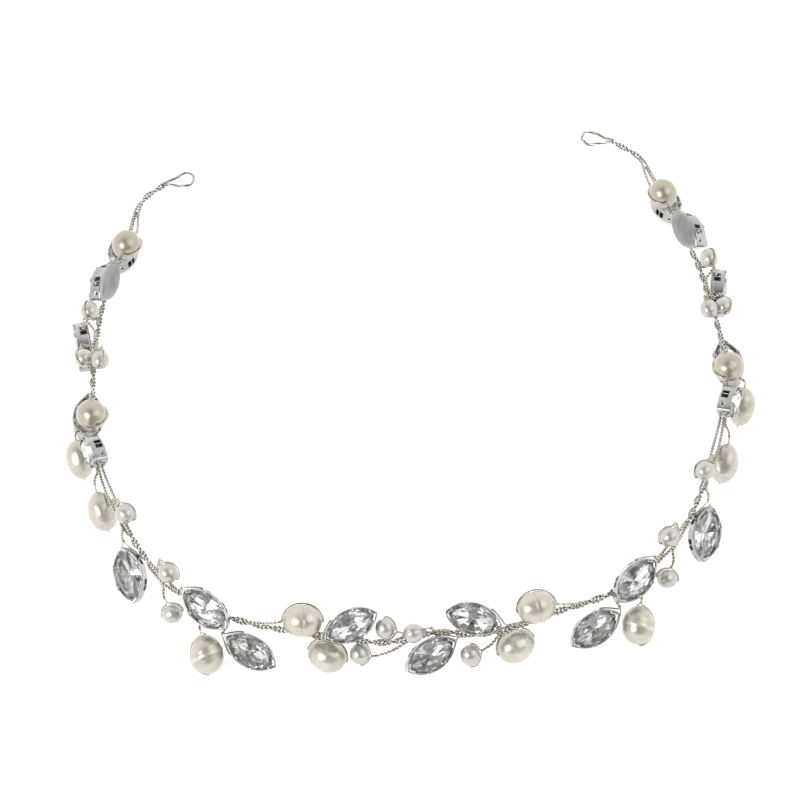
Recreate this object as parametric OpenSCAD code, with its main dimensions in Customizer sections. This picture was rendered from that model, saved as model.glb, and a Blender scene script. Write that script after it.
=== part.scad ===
// Hair vine: a horseshoe of twisted silver wire that carries pearls and clear navette stones.
// Millimetres. +Z is up, +X to the wearer's side, the open back of the head toward +Y, and
// the vine lies on the plane Z = 0.

/* [Route of the trunk] */
// Width of the horseshoe between the middles of its two sides
route_w = 151; // [135:1:170]
// Depth of the horseshoe from the front centre to the further end
route_d = 174.6; // [155:1:195]
// Height of the trunk at the forehead
front_h = 10.5; // [10.5:0.1:14]
// Height of the trunk at its two ends
back_h = 6; // [6:0.1:10]

/* [Wire] */
// Diameter of the trunk's rope of twisted wire
trunk_dia = 1.3; // [1:0.05:1.5]
// Diameter of a twisted stem
stem_dia = 0.8; // [0.6:0.05:0.9]
// Diameter of the single wire
wire_dia = 0.4; // [0.3:0.02:0.5]
// Length of an end loop
loop_l = 8; // [6.5:0.1:10]
// Width of an end loop
loop_w = 5.2; // [4.6:0.1:6.5]
// Diameter of the bundle of wires that an end loop is bent from
loop_dia = 0.9; // [0.7:0.05:1.1]

/* [Pearls] */
// Length of a round pearl along its bore
round_pearl_l = 7.6; // [6.8:0.1:8]
// Width of a round pearl
round_pearl_w = 7.1; // [6:0.1:7.5]
// Length of a long pearl along its bore
long_pearl_l = 9.4; // [8.4:0.1:10]
// Width of a long pearl
long_pearl_w = 6.7; // [6:0.1:7]
// Length of a front pearl along its bore
front_pearl_l = 8.8; // [8:0.1:9.2]
// Width of a front pearl
front_pearl_w = 7.4; // [6.6:0.1:7.6]
// Length of a small pearl along its bore
bead_l = 4.8; // [4:0.1:5]
// Width of a small pearl
bead_w = 4.4; // [3.8:0.1:4.6]
// Diameter of the bore through a pearl
bore_dia = 0.9; // [0.7:0.05:1]

/* [Navettes] */
// Length of a stone from tip to tip
stone_l = 12; // [11:0.1:12.4]
// Width of a stone
stone_w = 6.2; // [5.6:0.1:6.4]
// Height of the stone's crown above its girdle
crown_h = 1.1; // [0.9:0.05:1.3]
// Depth of the stone's pavilion below its girdle
pavilion_h = 2.3; // [1.9:0.05:2.4]
// Height of a setting's wall
setting_h = 3.9; // [3.7:0.05:4.1]
// Thickness of a setting's wall and back
setting_wall = 0.4; // [0.3:0.05:0.45]
// Width of a claw
claw_w = 1.1; // [0.9:0.05:1.4]
// Length of a window in the setting's side
window_l = 2.3; // [2:0.1:2.6]
// Height of a window in the setting's side
window_h = 1.6; // [1.4:0.05:1.7]

/* [Hidden] */
// Gap between neighbouring pieces
gap = 0.1;
// Gap between a pearl and the wire that runs round it
hug_gap = 0.22;
// Thickness of the stone's girdle
girdle_h = 0.3;
// Share of the stone that its table covers
table_share = 0.56;
// Reach of a claw over the stone
claw_reach = 0.5;
// Share of the crown's height that a claw rests at
claw_rest = 0.62;
// Place of the side claws as a share of the stone's length
claw_place = 0.2;
// Place of the windows as a share of the stone's length
window_place = 0.25;
// Height of the windows above the setting's back
window_rise = 0.4;
// Length of the neck between a twisted stem and the wire round a pearl
neck_l = 1;
// Gap between a stem and the tip of its setting
tip_gap = 0.5;
// Place of a navette's wire beside its stem, as a share of the wire's diameter
start_beside = 0.8;
// Bow of a stem as a share of its length
stem_bow = 0.08;
// Turn of an end loop away from the trunk's line
loop_turn = 30;
// Stretch of the trunk that gives its direction, as a share of its length
way_step = 0.004;
// Shares of the way forward where the trunk begins and ends its rise
RISE_START = 0.13;
RISE_END = 0.75;
// Sides of the trunk's tube and of a wire's tube
TRUNK_SIDES = 6;
WIRE_SIDES = 5;
// Steps between two points of the route
ROUTE_STEPS = 4;
// Bands from pole to pole of a large and of a small pearl
PEARL_BANDS = 12;
BEAD_BANDS = 8;
// Corners of the stone's girdle
GIRDLE_CORNERS = 12;
// Step of the wire round a pearl, in degrees
HUG_STEP = 26;
// Angles of the points round the far side of an end loop
LOOP_TURNS = [-120, -90, -60, -30, 0, 30, 60, 90, 120];
// Steepest way, as its rise, that a tube's first axis is level across
STEEPEST = 0.8;
// Smoothness of round surfaces
$fn = 64;

// Kinds of element
NAVETTE = 0;
ROUND = 1;
LONG = 2;
FRONT = 3;
BEAD = 4;

// Place of the horseshoe's front centre
front_x = -2.28;
front_y = -85.5;

// Route of the trunk from the left end to the right end:
// [share of half the width across, share of the depth back]
ROUTE = [
    [-0.79, 0.904], [-0.868, 0.86], [-0.903, 0.768], [-0.948, 0.688], [-0.969, 0.602],
    [-0.972, 0.505], [-0.956, 0.407], [-0.919, 0.316], [-0.86, 0.241], [-0.789, 0.172],
    [-0.697, 0.107], [-0.564, 0.056], [-0.404, 0.029], [-0.219, 0.012], [-0.046, 0.001],
    [0.106, 0.018], [0.272, 0.018], [0.457, 0.052], [0.623, 0.084], [0.755, 0.135],
    [0.848, 0.195], [0.921, 0.273], [0.983, 0.364], [1.023, 0.459], [1.03, 0.551],
    [1.001, 0.653], [0.971, 0.734], [0.909, 0.831], [0.844, 0.928], [0.808, 0.965],
    [0.72, 1]
];

// Elements that both sides carry, from the back end to the front centre:
// [kind, share of the trunk from the left end, same from the right end, place inward of
// the trunk, place above it, root further back by this share of the trunk,
// turn toward the front, lift of the face, roll of the long axis, fork of the wire]
SIDE = [
    [ROUND,   0.071, 0.07,   1.6,  4.9, 0.012, 100, 90,   0, 160],
    [NAVETTE, 0.057, 0.058, -1.5, -3.7, 0.018,   0, 84,  90, 0],
    [NAVETTE, 0.107, 0.107,  0.4,  5.2, 0.02,  -10, -23, 90, 0],
    [BEAD,    0.128, 0.129, -2.1,  3.6, -0.01,   0, 150, -90, 160],
    [NAVETTE, 0.142, 0.143, -3.2, -2.8, 0.016,  12, -2,  68, 0],
    [BEAD,    0.168, 0.171,  1.8,  3.2, 0.012,   0, 29,  90, 160],
    [BEAD,    0.163, 0.167, -2.3,  2.0, 0.012,   0, -49, 90, 160],
    [NAVETTE, 0.197, 0.2,   -1.4, -4.3, 0.022,  80, 80,   0, 0],
    [ROUND,   0.216, 0.224, -0.3,  4.8, 0.012, 105, 90,   0, 160],
    [NAVETTE, 0.245, 0.252, -1.1,  5.0, 0.016,   8,  5, 115, 0],
    [LONG,    0.23,  0.235, -4.1, -3.5, 0.016,   0, -7, 222, 10],
    [LONG,    0.27,  0.279, -2.4, -4.2, 0.02,  -11, -14, 222, 10],
    [BEAD,    0.293, 0.305,  0.3,  3.3, 0.01,   60, 45,  60, 150],
    [NAVETTE, 0.321, 0.335, -4.0, -3.6, 0.024,  40, 42,  28, 0],
    [BEAD,    0.344, 0.36,   0.3,  3.2, 0.01,   45, 45,  60, 150],
    [BEAD,    0.355, 0.372, -3.0, -4.1, 0.012,  40, 45, 110, 100],
    [NAVETTE, 0.376, 0.396, -2.3,  3.1, 0.02,   20, 45,  57, 0],
    [FRONT,   0.381, 0.401, -7.0, -6.0, 0.01,   10, 45, 196, 15],
    [NAVETTE, 0.4,   0.42,  -3.4, -5.5, 0.014,  20, 45,  57, 0],
    [FRONT,   0.426, 0.451, -0.5,  4.5, 0.024,  10, 45,  88, 172],
    [FRONT,   0.439, 0.463, -1.4, -5.0, 0.014,  10, 45,  73, 125]
];

// Elements of the front centre, from left to right, in the same columns, with the share
// from the left end given twice
CENTRE = [
    [NAVETTE, 0.451, 0.451,  0.4,  4.4, 0.02,   10, 45, 117, 0],
    [BEAD,    0.456, 0.456, -1.2, -2.9, -0.024,  0, 45,  10, 80],
    [BEAD,    0.469, 0.469,  1.4,  3.0, -0.01,   0, 45,   0, 75],
    [BEAD,    0.483, 0.483, -1.3,  2.9, -0.012,  0, 156, -90, 160],
    [NAVETTE, 0.491, 0.491, -3.3, -3.5, -0.03,   0, 45, -68, 0],
    [NAVETTE, 0.515, 0.515,  0.5,  4.4, -0.025,  0, 45, -102, 0],
    [BEAD,    0.514, 0.514, -3.4, -3.5, -0.014,  0, 45,   0, 115]
];

// Elements of the front centre, counted from the left, that go with the left nodes
CENTRE_ON_LEFT = 3;

// Columns of the two tables
KIND = 0;
FROM_LEFT = 1;
FROM_RIGHT = 2;
INWARD = 3;
ABOVE = 4;
ROOT = 5;
TURN = 6;
LIFT = 7;
ROLL = 8;
FORK = 9;

// Sides of the head
LEFT = 1;
RIGHT = -1;

// Trace of the trunk: a smooth curve through the route's points

function route_point(i) =
    let (n = len(ROUTE) - 1)
    i < 0 ? 2 * ROUTE[0] - ROUTE[1] :
    i > n ? 2 * ROUTE[n] - ROUTE[n - 1] : ROUTE[i];

function between(a, b, c, d, t) =
    0.5 * (2 * b + (c - a) * t + (2 * a - 5 * b + 4 * c - d) * pow(t, 2)
           + (3 * b - a - 3 * c + d) * pow(t, 3));

// Height at share u of the route: low at both ends and high at the forehead
function trunk_height(u) =
    lookup(1 - abs(2 * u - 1), [[RISE_START, back_h], [RISE_END, front_h]]);

function in_space(p, u) =
    [front_x + p.x * route_w / 2, front_y + p.y * route_d, trunk_height(u)];

TRACE = [
    for (i = [0:len(ROUTE) - 2])
        for (k = [0:(i == len(ROUTE) - 2 ? ROUTE_STEPS : ROUTE_STEPS - 1)])
            in_space(between(route_point(i - 1), route_point(i), route_point(i + 1),
                             route_point(i + 2), k / ROUTE_STEPS),
                     (i + k / ROUTE_STEPS) / (len(ROUTE) - 1))
];

LENGTHS = [
    for (i = 0, d = 0; i < len(TRACE);
         d = d + (i + 1 < len(TRACE) ? norm(TRACE[i + 1] - TRACE[i]) : 0), i = i + 1) d
];
trunk_l = LENGTHS[len(LENGTHS) - 1];

function trunk_point(s) = [
    for (axis = [0:2])
        lookup(s * trunk_l, [for (i = [0:len(TRACE) - 1]) [LENGTHS[i], TRACE[i][axis]]])
];

function trunk_way(s) =
    let (a = trunk_point(max(0, s - way_step)), b = trunk_point(min(1, s + way_step)))
    (b - a) / norm(b - a);

// Places of the elements

function share(row, side) = side == LEFT ? row[FROM_LEFT] : 1 - row[FROM_RIGHT];

function heading(s) = let (way = trunk_way(s)) atan2(way.y, way.x);

function turn_z(p, a) = [p.x * cos(a) - p.y * sin(a), p.x * sin(a) + p.y * cos(a), p.z];

function turn_y(p, a) = [p.x * cos(a) + p.z * sin(a), p.y, p.z * cos(a) - p.x * sin(a)];

function seat(row, side) =
    let (s = share(row, side))
    trunk_point(s) + turn_z([0, row[INWARD], row[ABOVE]], heading(s));

function face_way(row, side) = heading(share(row, side)) - 90 + side * row[TURN];

function placed(p, row, side) =
    seat(row, side)
    + turn_z(turn_y(turn_z([p.x, side * p.y, p.z], side * row[ROLL]), 90 - row[LIFT]),
             face_way(row, side));

module place(row, side)
    translate(seat(row, side))
        rotate([0, 0, face_way(row, side)])
            rotate([0, 90 - row[LIFT], 0])
                rotate([0, 0, side * row[ROLL]])
                    children();

// Tubes

function unit(v) = v / norm(v);

function way_at(path, i) =
    let (n = len(path) - 1)
    unit(i == 0 ? path[1] - path[0] :
         i == n ? path[n] - path[n - 1] :
         unit(path[i + 1] - path[i]) + unit(path[i] - path[i - 1]));

// Axes across a path, carried from ring to ring without twist
function first_across(way) = unit(cross(way, abs(way.z) < STEEPEST ? [0, 0, 1] : [1, 0, 0]));

function carried(across, way) = unit(across - (across * way) * way);

function across_list(path) = [
    for (i = 0, a = first_across(way_at(path, 0)); i < len(path);
         i = i + 1, a = i < len(path) ? carried(a, way_at(path, i)) : a) a
];

function tube_points(path, radii, sides) =
    let (across = across_list(path))
    [for (i = [0:len(path) - 1])
        let (u = across[i], v = cross(way_at(path, i), u))
        for (k = [0:sides - 1])
            let (a = 360 * k / sides)
            path[i] + radii[i] * (u * cos(a) + v * sin(a))];

function tube_faces(rings, sides, start) = concat(
    [[for (k = [0:sides - 1]) start + k]],
    [for (i = [0:rings - 2]) for (k = [0:sides - 1])
        let (a = start + i * sides, b = (k + 1) % sides)
        each [[a + k, a + sides + b, a + b], [a + k, a + sides + k, a + sides + b]]],
    [[for (k = [0:sides - 1]) start + rings * sides - 1 - k]]
);

// Several loose tubes, each given as [path, radii]
module tubes(list, sides) {
    counts = [for (tube = list) len(tube[0])];
    starts = [for (i = 0, s = 0; i < len(list); s = s + counts[i] * sides, i = i + 1) s];
    polyhedron(
        points = [for (tube = list) each tube_points(tube[0], tube[1], sides)],
        faces = [for (i = [0:len(list) - 1]) each tube_faces(counts[i], sides, starts[i])]
    );
}

module trunk()
    color("silver")
        tubes([[TRACE, [for (p = TRACE) trunk_dia / 2]]], TRUNK_SIDES);

// End loops: a teardrop bent back to the trunk's end

// Teardrop round a circle at the far side of the loop
function loop_path(end, way, up) =
    let (r = (loop_w - loop_dia) / 2, start = loop_dia / 2 + 2 * gap,
         half_gap = (loop_dia + gap) / 2)
    concat(
        [end + way * start - up * half_gap, end + way * (start + loop_dia) - up * half_gap],
        [for (a = LOOP_TURNS)
            end + way * (loop_l - loop_dia / 2 - r + r * cos(a)) + up * r * sin(a)],
        [end + way * (start + loop_dia) + up * half_gap, end + way * start + up * half_gap]
    );

module end_loop(side) {
    s = side == LEFT ? 0 : 1;
    end = trunk_point(s);
    back = -side * trunk_way(s);
    way = turn_z([back.x, back.y, 0], -side * loop_turn);
    path = loop_path(end, unit(way), [0, 0, 1]);
    color("silver")
        tubes([[path, [for (p = path) loop_dia / 2]]], WIRE_SIDES);
}

// Pearls

function pearl_size(kind) =
    kind == ROUND ? [round_pearl_l, round_pearl_w] :
    kind == LONG ? [long_pearl_l, long_pearl_w] :
    kind == FRONT ? [front_pearl_l, front_pearl_w] : [bead_l, bead_w];

// Drilled pearl with its bore along X
module pearl_body(size, bands) {
    mouth = asin(bore_dia / size[1]);
    rotate([0, 90, 0])
        rotate_extrude()
            polygon([
                for (i = [0:bands])
                    let (a = mouth + (180 - 2 * mouth) * i / bands)
                    [size[1] / 2 * sin(a), size[0] / 2 * cos(a)]
            ]);
}

module pearl(row, side)
    color("ivory")
        place(row, side)
            pearl_body(pearl_size(row[KIND]), PEARL_BANDS);

module beads(side)
    color("white")
        for (entry = entries(side))
            if (entry[0][KIND] == BEAD)
                place(entry[0], entry[1])
                    pearl_body(pearl_size(BEAD), BEAD_BANDS);

// Navettes: the outline is where two circles cross

function arc_r(half_l, half_w) = (pow(half_l, 2) + pow(half_w, 2)) / (2 * half_w);

stone_arc = arc_r(stone_l / 2, stone_w / 2);
arc_shift = stone_arc - stone_w / 2;
inner_arc = stone_arc + gap;
outer_arc = inner_arc + setting_wall;
setting_half_l = sqrt(pow(outer_arc, 2) - pow(arc_shift, 2));
setting_half_w = outer_arc - arc_shift;
girdle_z = setting_wall + gap + pavilion_h;
window_x = stone_l * window_place;
window_z = setting_wall + window_rise;

module lens(r)
    intersection_for (s = [-1, 1])
        translate([0, s * arc_shift])
            circle(r);

function half_width_at(x, r) = sqrt(pow(r, 2) - pow(x, 2)) - arc_shift;

// Claws stand on the wall and reach over the crown
module claws() {
    lip_z = girdle_z + girdle_h + crown_h * claw_rest;
    reach = setting_wall + gap + claw_reach;
    for (x = [-1, 1])
        translate([0, 0, setting_h])
            for (layer = [[0, setting_wall, lip_z + setting_wall - setting_h],
                          [lip_z - setting_h, reach, setting_wall]])
                translate([0, 0, layer[0]])
                    linear_extrude(layer[2])
                        intersection() {
                            difference() {
                                lens(outer_arc);
                                lens(outer_arc - layer[1]);
                            }
                            union() {
                                translate([x * stone_l * claw_place - claw_w / 2, -stone_w])
                                    square([claw_w, 2 * stone_w]);
                                translate([x * setting_half_l - claw_w, -stone_w])
                                    square([2 * claw_w, 2 * stone_w]);
                            }
                        }
}

module setting_body() {
    difference() {
        linear_extrude(setting_h)
            lens(outer_arc);
        translate([0, 0, setting_wall])
            linear_extrude(setting_h)
                lens(inner_arc);
        for (x = [-1, 1])
            translate([x * window_x - window_l / 2, -stone_w, window_z])
                cube([window_l, 2 * stone_w, window_h]);
    }
    claws();
}

module setting(row, side)
    color("gainsboro")
        place(row, side)
            translate([0, 0, -setting_h / 2])
                setting_body();

// Cut stone: table, crown, girdle and pavilion, with the culet at the bottom
module stone_body() {
    n = GIRDLE_CORNERS;
    outline = [
        for (i = [0:n - 1])
            let (x = stone_l / 2 * cos(360 * i / n),
                 y = half_width_at(x, stone_arc))
            [x, i == 0 || i == n / 2 ? 0 : i < n / 2 ? y : -y]
    ];
    table = [for (i = [0:n - 1]) table_share * (outline[i] + outline[(i + 1) % n]) / 2];
    polyhedron(
        points = concat(
            [for (p = outline) [p.x, p.y, 0]],
            [for (p = outline) [p.x, p.y, girdle_h]],
            [for (p = table) [p.x, p.y, girdle_h + crown_h]],
            [[0, 0, -pavilion_h]]
        ),
        faces = concat(
            [[for (i = [0:n - 1]) 3 * n - 1 - i]],
            [for (i = [0:n - 1]) let (j = (i + 1) % n) each [
                [3 * n, i, j],
                [i, n + j, j], [i, n + i, n + j],
                [n + i, 2 * n + i, n + j],
                [2 * n + i, 2 * n + j, n + j]
            ]]
        )
    );
}

module stone(row, side)
    color("azure")
        place(row, side)
            translate([0, 0, girdle_z - setting_h / 2])
                stone_body();

// Wires: a stem from the trunk to the element's neck, then the single wire, which runs
// through the pearl's bore or the setting's windows and back to the neck

function hug_point(size, a, out) =
    [(size[0] / 2 + out) * cos(a), (size[1] / 2 + out) * sin(a), 0];

hug = wire_dia / 2 + hug_gap;
neck_out = hug + neck_l;

function pearl_wire(size, fork) =
    let (there = ceil((180 - fork) / HUG_STEP), back = floor(fork / HUG_STEP),
         beside = asin((stem_dia / 2 + wire_dia / 2 + 2 * gap) / (size[1] / 2 + neck_out)))
    concat(
        [hug_point(size, fork, neck_out)],
        [for (i = [0:there]) hug_point(size, fork + (180 - fork) * i / max(there, 1), hug)],
        [for (i = [0:back]) hug_point(size, (fork - 2 * beside) * i / max(back, 1), hug)],
        [hug_point(size, fork - beside, neck_out - gap)]
    );

function navette_wire() =
    let (z = window_z + wire_dia / 2 + gap - setting_h / 2,
         tip = setting_half_l + stem_dia / 2 + tip_gap,
         side_x = -(window_x + setting_half_l) / 2,
         side_y = half_width_at(side_x, outer_arc) + wire_dia / 2 + 2 * gap,
         in_y = half_width_at(window_x, outer_arc) + wire_dia / 2 + gap)
    [[-tip, 0, z], [-tip + wire_dia, wire_dia * start_beside, z], [side_x, side_y, z],
     [-window_x, in_y, z], [-window_x, -in_y, z], [side_x, -side_y, z],
     [-tip + 2 * wire_dia, -stem_dia / 2 - wire_dia, z]];

function element_wire(row) =
    row[KIND] == NAVETTE ? navette_wire() : pearl_wire(pearl_size(row[KIND]), row[FORK]);

function stem_tube(row, side) =
    let (wire = [for (p = element_wire(row)) placed(p, row, side)],
         s = share(row, side) - side * row[ROOT],
         foot = trunk_point(s),
         across = carried(wire[0] - foot, trunk_way(s)),
         root = foot + across * (trunk_dia / 2 + gap + stem_dia / 2),
         middle = (root + wire[0]) / 2 + across * norm(wire[0] - root) * stem_bow)
    [concat([root, middle], wire),
     concat([stem_dia / 2, stem_dia / 2, stem_dia / 2],
            [for (i = [1:len(wire) - 1]) wire_dia / 2])];

// The centre's elements are measured from the left end, so they take the left frame. Each
// side's nodes hold some of them.
function entries(side) = concat(
    [for (row = SIDE) [row, side]],
    [for (i = [0:len(CENTRE) - 1]) if ((i < CENTRE_ON_LEFT) == (side == LEFT))
        [CENTRE[i], LEFT]]
);

module stems(side)
    color("lightgray")
        tubes([for (entry = entries(side)) stem_tube(entry[0], entry[1])], WIRE_SIDES);

large = [for (row = SIDE) if (row[KIND] > NAVETTE && row[KIND] < BEAD) row];
navettes = [for (row = SIDE) if (row[KIND] == NAVETTE) row];
middle_navettes = [for (row = CENTRE) if (row[KIND] == NAVETTE) row];

trunk();
end_loop(LEFT);  // end_loop_left
end_loop(RIGHT);  // end_loop_right
stems(LEFT);  // stems_left
stems(RIGHT);  // stems_right
beads(LEFT);  // beads_left
beads(RIGHT);  // beads_right
for (side = [LEFT, RIGHT]) {
    word = side == LEFT ? "left" : "right";
    for (i = [1:7])
        pearl(large[i - 1], side);
    for (i = [1:8])
        setting(navettes[i - 1], side);
    for (i = [1:8])
        stone(navettes[i - 1], side);
}
for (i = [1:3]) {
    setting(middle_navettes[i - 1], LEFT);
    stone(middle_navettes[i - 1], LEFT);
}
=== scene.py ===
"""Looks of a hair vine: twisted silver wire that carries pearls and clear navette stones.

Lengths are millimetres and angles degrees, and places are shares of named sizes, as in the
part's own source. Finished meshes are in metres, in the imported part's frame, with every
object at the origin. Points of a path are in order from its start.
"""

import logging
import math
from dataclasses import dataclass, field
from enum import Enum
from itertools import accumulate
from typing import Callable, Iterable, Sequence

import bmesh
import bpy
from mathutils import Matrix, Vector, noise


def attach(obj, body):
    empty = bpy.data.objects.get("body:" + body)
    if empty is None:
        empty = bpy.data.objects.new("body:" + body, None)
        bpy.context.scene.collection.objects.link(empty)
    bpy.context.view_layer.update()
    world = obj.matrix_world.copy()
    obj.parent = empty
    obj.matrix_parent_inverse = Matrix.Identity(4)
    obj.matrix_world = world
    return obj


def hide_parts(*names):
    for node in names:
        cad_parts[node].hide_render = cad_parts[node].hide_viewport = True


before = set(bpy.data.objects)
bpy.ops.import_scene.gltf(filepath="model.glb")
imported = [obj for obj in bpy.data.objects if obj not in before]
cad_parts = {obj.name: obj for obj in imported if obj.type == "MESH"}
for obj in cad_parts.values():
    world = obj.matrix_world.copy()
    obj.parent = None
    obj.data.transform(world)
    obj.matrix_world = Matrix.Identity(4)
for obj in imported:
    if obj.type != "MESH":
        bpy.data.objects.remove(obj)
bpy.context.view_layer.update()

LOG = logging.getLogger("hair_vine")
MM = 0.001
BODY = "root"
UP = Vector((0, 0, 1))
# Vertices nearer than this are one
WELD = 1e-4
# Least length that a share of a path is taken of
SHORTEST = 1e-9
# A wound path that starts steeper than this, as its rise, has X as its first way across
STEEPEST = 0.9
# Where the middle of a noise pattern starts and ends
PATTERN_LOW, PATTERN_HIGH = 0.3, 0.7
# Layer that numbers the vertices round a ring
RING_LAYER = "number"
# How much painted shade a wound wire's round takes halfway into the groove between wires, and how
# much even darkening a wire takes where it runs alone
PAINTED_SHADE_MIDDLE = 0.45
BARE_WIRE_DARKENING = 0.22

Rgb = tuple[float, float, float]
Mesh = bmesh.types.BMesh
Edges = list[bmesh.types.BMEdge]
Spot = Callable[..., Vector]
Finish = bpy.types.Material
Socket = bpy.types.NodeSocket


class Kind(Enum):
    """Kinds of element that a stem carries."""

    NAVETTE = "navette"
    ROUND = "round"
    LONG = "long"
    FRONT = "front"
    BEAD = "bead"


class Side(Enum):
    """Side of the head, with the sign that mirrors a turn."""

    LEFT = 1
    RIGHT = -1

    @property
    def word(self) -> str:
        """The side's name as the nodes spell it."""
        return self.name.lower()


@dataclass(frozen=True)
class Element:
    """One pearl or navette and the way its stem holds it.

    The shares run along the trunk. Inward and above are lengths from the trunk.
    """

    kind: Kind
    from_left: float
    from_right: float
    inward: float
    above: float
    root: float
    turn: float
    lift: float
    roll: float
    fork: float


def elements(*rows: Sequence) -> tuple[Element, ...]:
    """Element records from rows in the order of Element's fields."""
    return tuple(Element(*row) for row in rows)


NAVETTE, ROUND, LONG, FRONT, BEAD = Kind

# Kind, from left, from right, inward, above, root, turn, lift, roll, fork
SIDE_ELEMENTS = elements(
    (ROUND, 0.071, 0.07, 1.6, 4.9, 0.012, 100, 90, 0, 160),
    (NAVETTE, 0.057, 0.058, -1.5, -3.7, 0.018, 0, 84, 90, 0),
    (NAVETTE, 0.107, 0.107, 0.4, 5.2, 0.02, -10, -23, 90, 0),
    (BEAD, 0.128, 0.129, -2.1, 3.6, -0.01, 0, 150, -90, 160),
    (NAVETTE, 0.142, 0.143, -3.2, -2.8, 0.016, 12, -2, 68, 0),
    (BEAD, 0.168, 0.171, 1.8, 3.2, 0.012, 0, 29, 90, 160),
    (BEAD, 0.163, 0.167, -2.3, 2.0, 0.012, 0, -49, 90, 160),
    (NAVETTE, 0.197, 0.2, -1.4, -4.3, 0.022, 80, 80, 0, 0),
    (ROUND, 0.216, 0.224, -0.3, 4.8, 0.012, 105, 90, 0, 160),
    (NAVETTE, 0.245, 0.252, -1.1, 5.0, 0.016, 8, 5, 115, 0),
    (LONG, 0.23, 0.235, -4.1, -3.5, 0.016, 0, -7, 222, 10),
    (LONG, 0.27, 0.279, -2.4, -4.2, 0.02, -11, -14, 222, 10),
    (BEAD, 0.293, 0.305, 0.3, 3.3, 0.01, 60, 45, 60, 150),
    (NAVETTE, 0.321, 0.335, -4.0, -3.6, 0.024, 40, 42, 28, 0),
    (BEAD, 0.344, 0.36, 0.3, 3.2, 0.01, 45, 45, 60, 150),
    (BEAD, 0.355, 0.372, -3.0, -4.1, 0.012, 40, 45, 110, 100),
    (NAVETTE, 0.376, 0.396, -2.3, 3.1, 0.02, 20, 45, 57, 0),
    (FRONT, 0.381, 0.401, -7.0, -6.0, 0.01, 10, 45, 196, 15),
    (NAVETTE, 0.4, 0.42, -3.4, -5.5, 0.014, 20, 45, 57, 0),
    (FRONT, 0.426, 0.451, -0.5, 4.5, 0.024, 10, 45, 88, 188),
    (FRONT, 0.439, 0.463, -1.4, -5.0, 0.014, 10, 45, 73, 125),
)
CENTRE_ELEMENTS = elements(
    (NAVETTE, 0.451, 0.451, 0.4, 4.4, 0.02, 10, 45, 117, 0),
    (BEAD, 0.456, 0.456, -1.2, -2.9, -0.024, 0, 45, 10, 80),
    (BEAD, 0.469, 0.469, 1.4, 3.0, -0.01, 0, 45, 0, 75),
    (BEAD, 0.483, 0.483, -1.3, 2.9, -0.012, 0, 156, -90, 160),
    (NAVETTE, 0.491, 0.491, -3.3, -3.5, -0.03, 0, 45, -68, 0),
    (NAVETTE, 0.515, 0.515, 0.5, 4.4, -0.025, 0, 45, -102, 0),
    (BEAD, 0.514, 0.514, -3.4, -3.5, -0.014, 0, 45, 0, 115),
)
# How many of the centre's elements go with the left side's nodes
CENTRE_ON_LEFT = 3


# Paths


def held(value: float, low: float = 0.0, high: float = 1.0) -> float:
    """The value, or the limit that it passes."""
    return min(max(value, low), high)


def way_at(path: Sequence[Vector], i: int) -> Vector:
    """Direction of a path at one of its points."""
    return (path[min(i + 1, len(path) - 1)] - path[max(i - 1, 0)]).normalized()


def reaches(path: Sequence[Vector]) -> list[float]:
    """Length of a path up to each of its points."""
    steps = ((b - a).length for a, b in zip(path, path[1:]))
    return list(accumulate(steps, initial=0.0))


def smooth_path(points: Sequence[Vector], steps: int) -> list[Vector]:
    """Smooth curve through points.

    Args:
        points: the points it passes.
        steps: pieces between two neighbours.

    Returns:
        Points along the curve, with both ends.
    """
    run = [2 * points[0] - points[1], *points, 2 * points[-1] - points[-2]]
    curve = []
    for before, here, there, after in zip(run, run[1:], run[2:], run[3:]):
        for k in range(steps):
            t = k / steps
            curve.append(
                0.5 * (2 * here + (there - before) * t
                       + (2 * before - 5 * here + 4 * there - after) * t**2
                       + (3 * here - before - 3 * there + after) * t**3)
            )
    return [*curve, points[-1].copy()]


def rounded_path(points: Sequence[Vector], passes: int, cut: float = 0.25) -> list[Vector]:
    """Path with its corners cut.

    Args:
        points: corners of the path.
        passes: how often the corners are cut.
        cut: share of each side that a cut takes at either end.

    Returns:
        The rounded path, with the same two ends.
    """
    path = list(points)
    for _ in range(passes):
        inner = [p for a, b in zip(path, path[1:]) for p in (a.lerp(b, cut), a.lerp(b, 1 - cut))]
        path = [path[0], *inner, path[-1]]
    return path


def even_path(points: Sequence[Vector], step: float) -> list[Vector]:
    """The same path with its points evenly apart.

    Args:
        points: the path.
        step: distance wanted between neighbours.

    Returns:
        The new points, with both ends kept.
    """
    reach = reaches(points)
    count = max(2, round(reach[-1] / step))
    even, i = [], 0
    for k in range(count + 1):
        at = reach[-1] * k / count
        while i < len(points) - 2 and reach[i + 1] < at:
            i += 1
        share = (at - reach[i]) / max(reach[i + 1] - reach[i], SHORTEST)
        even.append(points[i].lerp(points[i + 1], min(share, 1.0)))
    return even


def wound_path(path: Sequence[Vector], pitch: float, radius: float,
               phase: float) -> list[Vector]:
    """Path of a wire that winds round another path.

    The directions across are carried along the path, so that they don't twist.

    Args:
        path: evenly spaced points of the middle line.
        pitch: length of one turn.
        radius: distance from the middle line.
        phase: angle at the start, in radians.

    Returns:
        One point beside each point of the middle line.
    """
    step = (path[1] - path[0]).length
    wound = []
    across = Vector((1, 0, 0)) if abs(way_at(path, 0).z) > STEEPEST else UP
    for i, point in enumerate(path):
        way = way_at(path, i)
        across = (across - across.dot(way) * way).normalized()
        angle = phase + math.tau * i * step / pitch
        wound.append(point + radius * (math.cos(angle) * across
                                       + math.sin(angle) * way.cross(across)))
    return wound


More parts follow.
